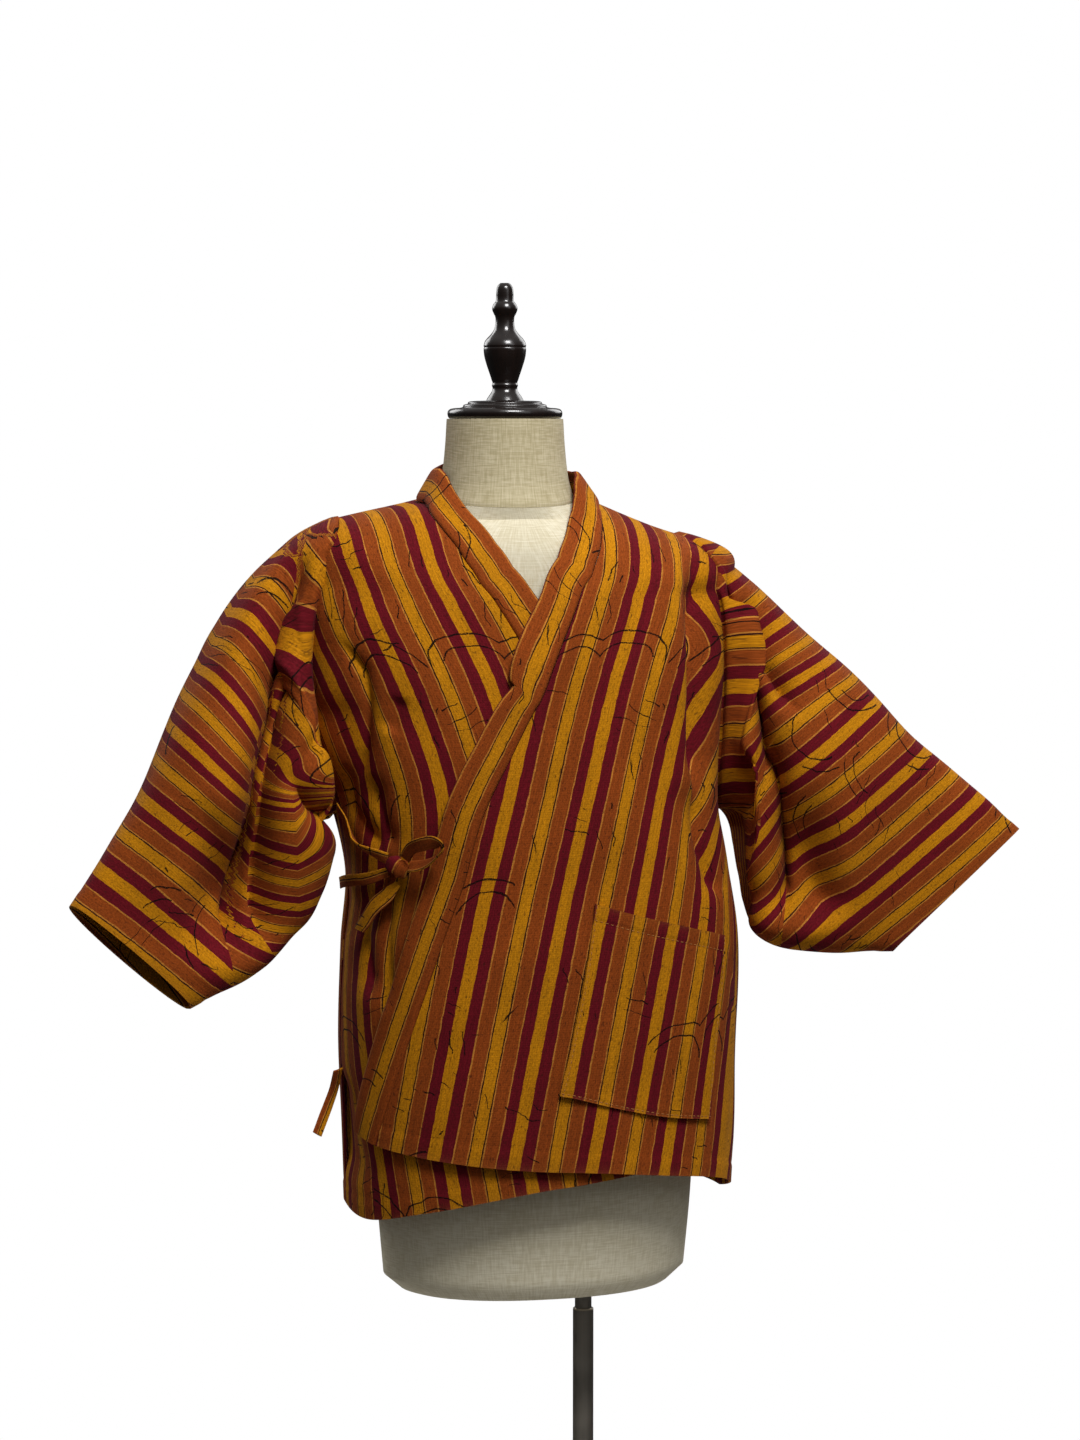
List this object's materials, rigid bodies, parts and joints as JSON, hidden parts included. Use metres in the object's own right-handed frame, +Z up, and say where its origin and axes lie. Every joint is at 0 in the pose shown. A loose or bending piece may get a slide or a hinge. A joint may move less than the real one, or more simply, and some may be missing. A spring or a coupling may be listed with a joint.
{
  "type": "hanten jacket on a dress form",
  "caption": "Striped cotton wrap jacket with wide short sleeves, neck band, patch pocket and side ties, worn by a limbless dress form on a pole stand.",
  "frame": {"origin": "centre of the stand base's flat underside, on the floor, under the pole", "axes": "+Z up along the pole, -Y the way the jacket's front faces, +X the wearer's left"},
  "size_m": [0.9485, 0.33, 1.6015],
  "materials": {
    "striped_cotton": "matte woven cotton with maroon, rust and mustard stripes",
    "linen": "matte unbleached linen",
    "turned_wood": "gloss black lacquer",
    "stand_metal": "satin dark grey"
  },
  "bodies": {
    "root": {"body_left": "striped_cotton", "body_right": "striped_cotton", "sleeve_left": "striped_cotton", "sleeve_right": "striped_cotton", "neck_band": "striped_cotton", "patch_pocket": "striped_cotton", "tie_knot": "striped_cotton", "tie_loop": "striped_cotton", "tie_side_tail": "striped_cotton", "tie_hanging_tail": "striped_cotton", "tie_from_side_seam": "striped_cotton", "tie_inner_end": "striped_cotton", "form_torso": "linen", "form_neck": "linen", "neck_cap": "turned_wood", "finial": "turned_wood", "stand_pole": "stand_metal", "stand_base": "stand_metal"}
  },
  "joints": []
}
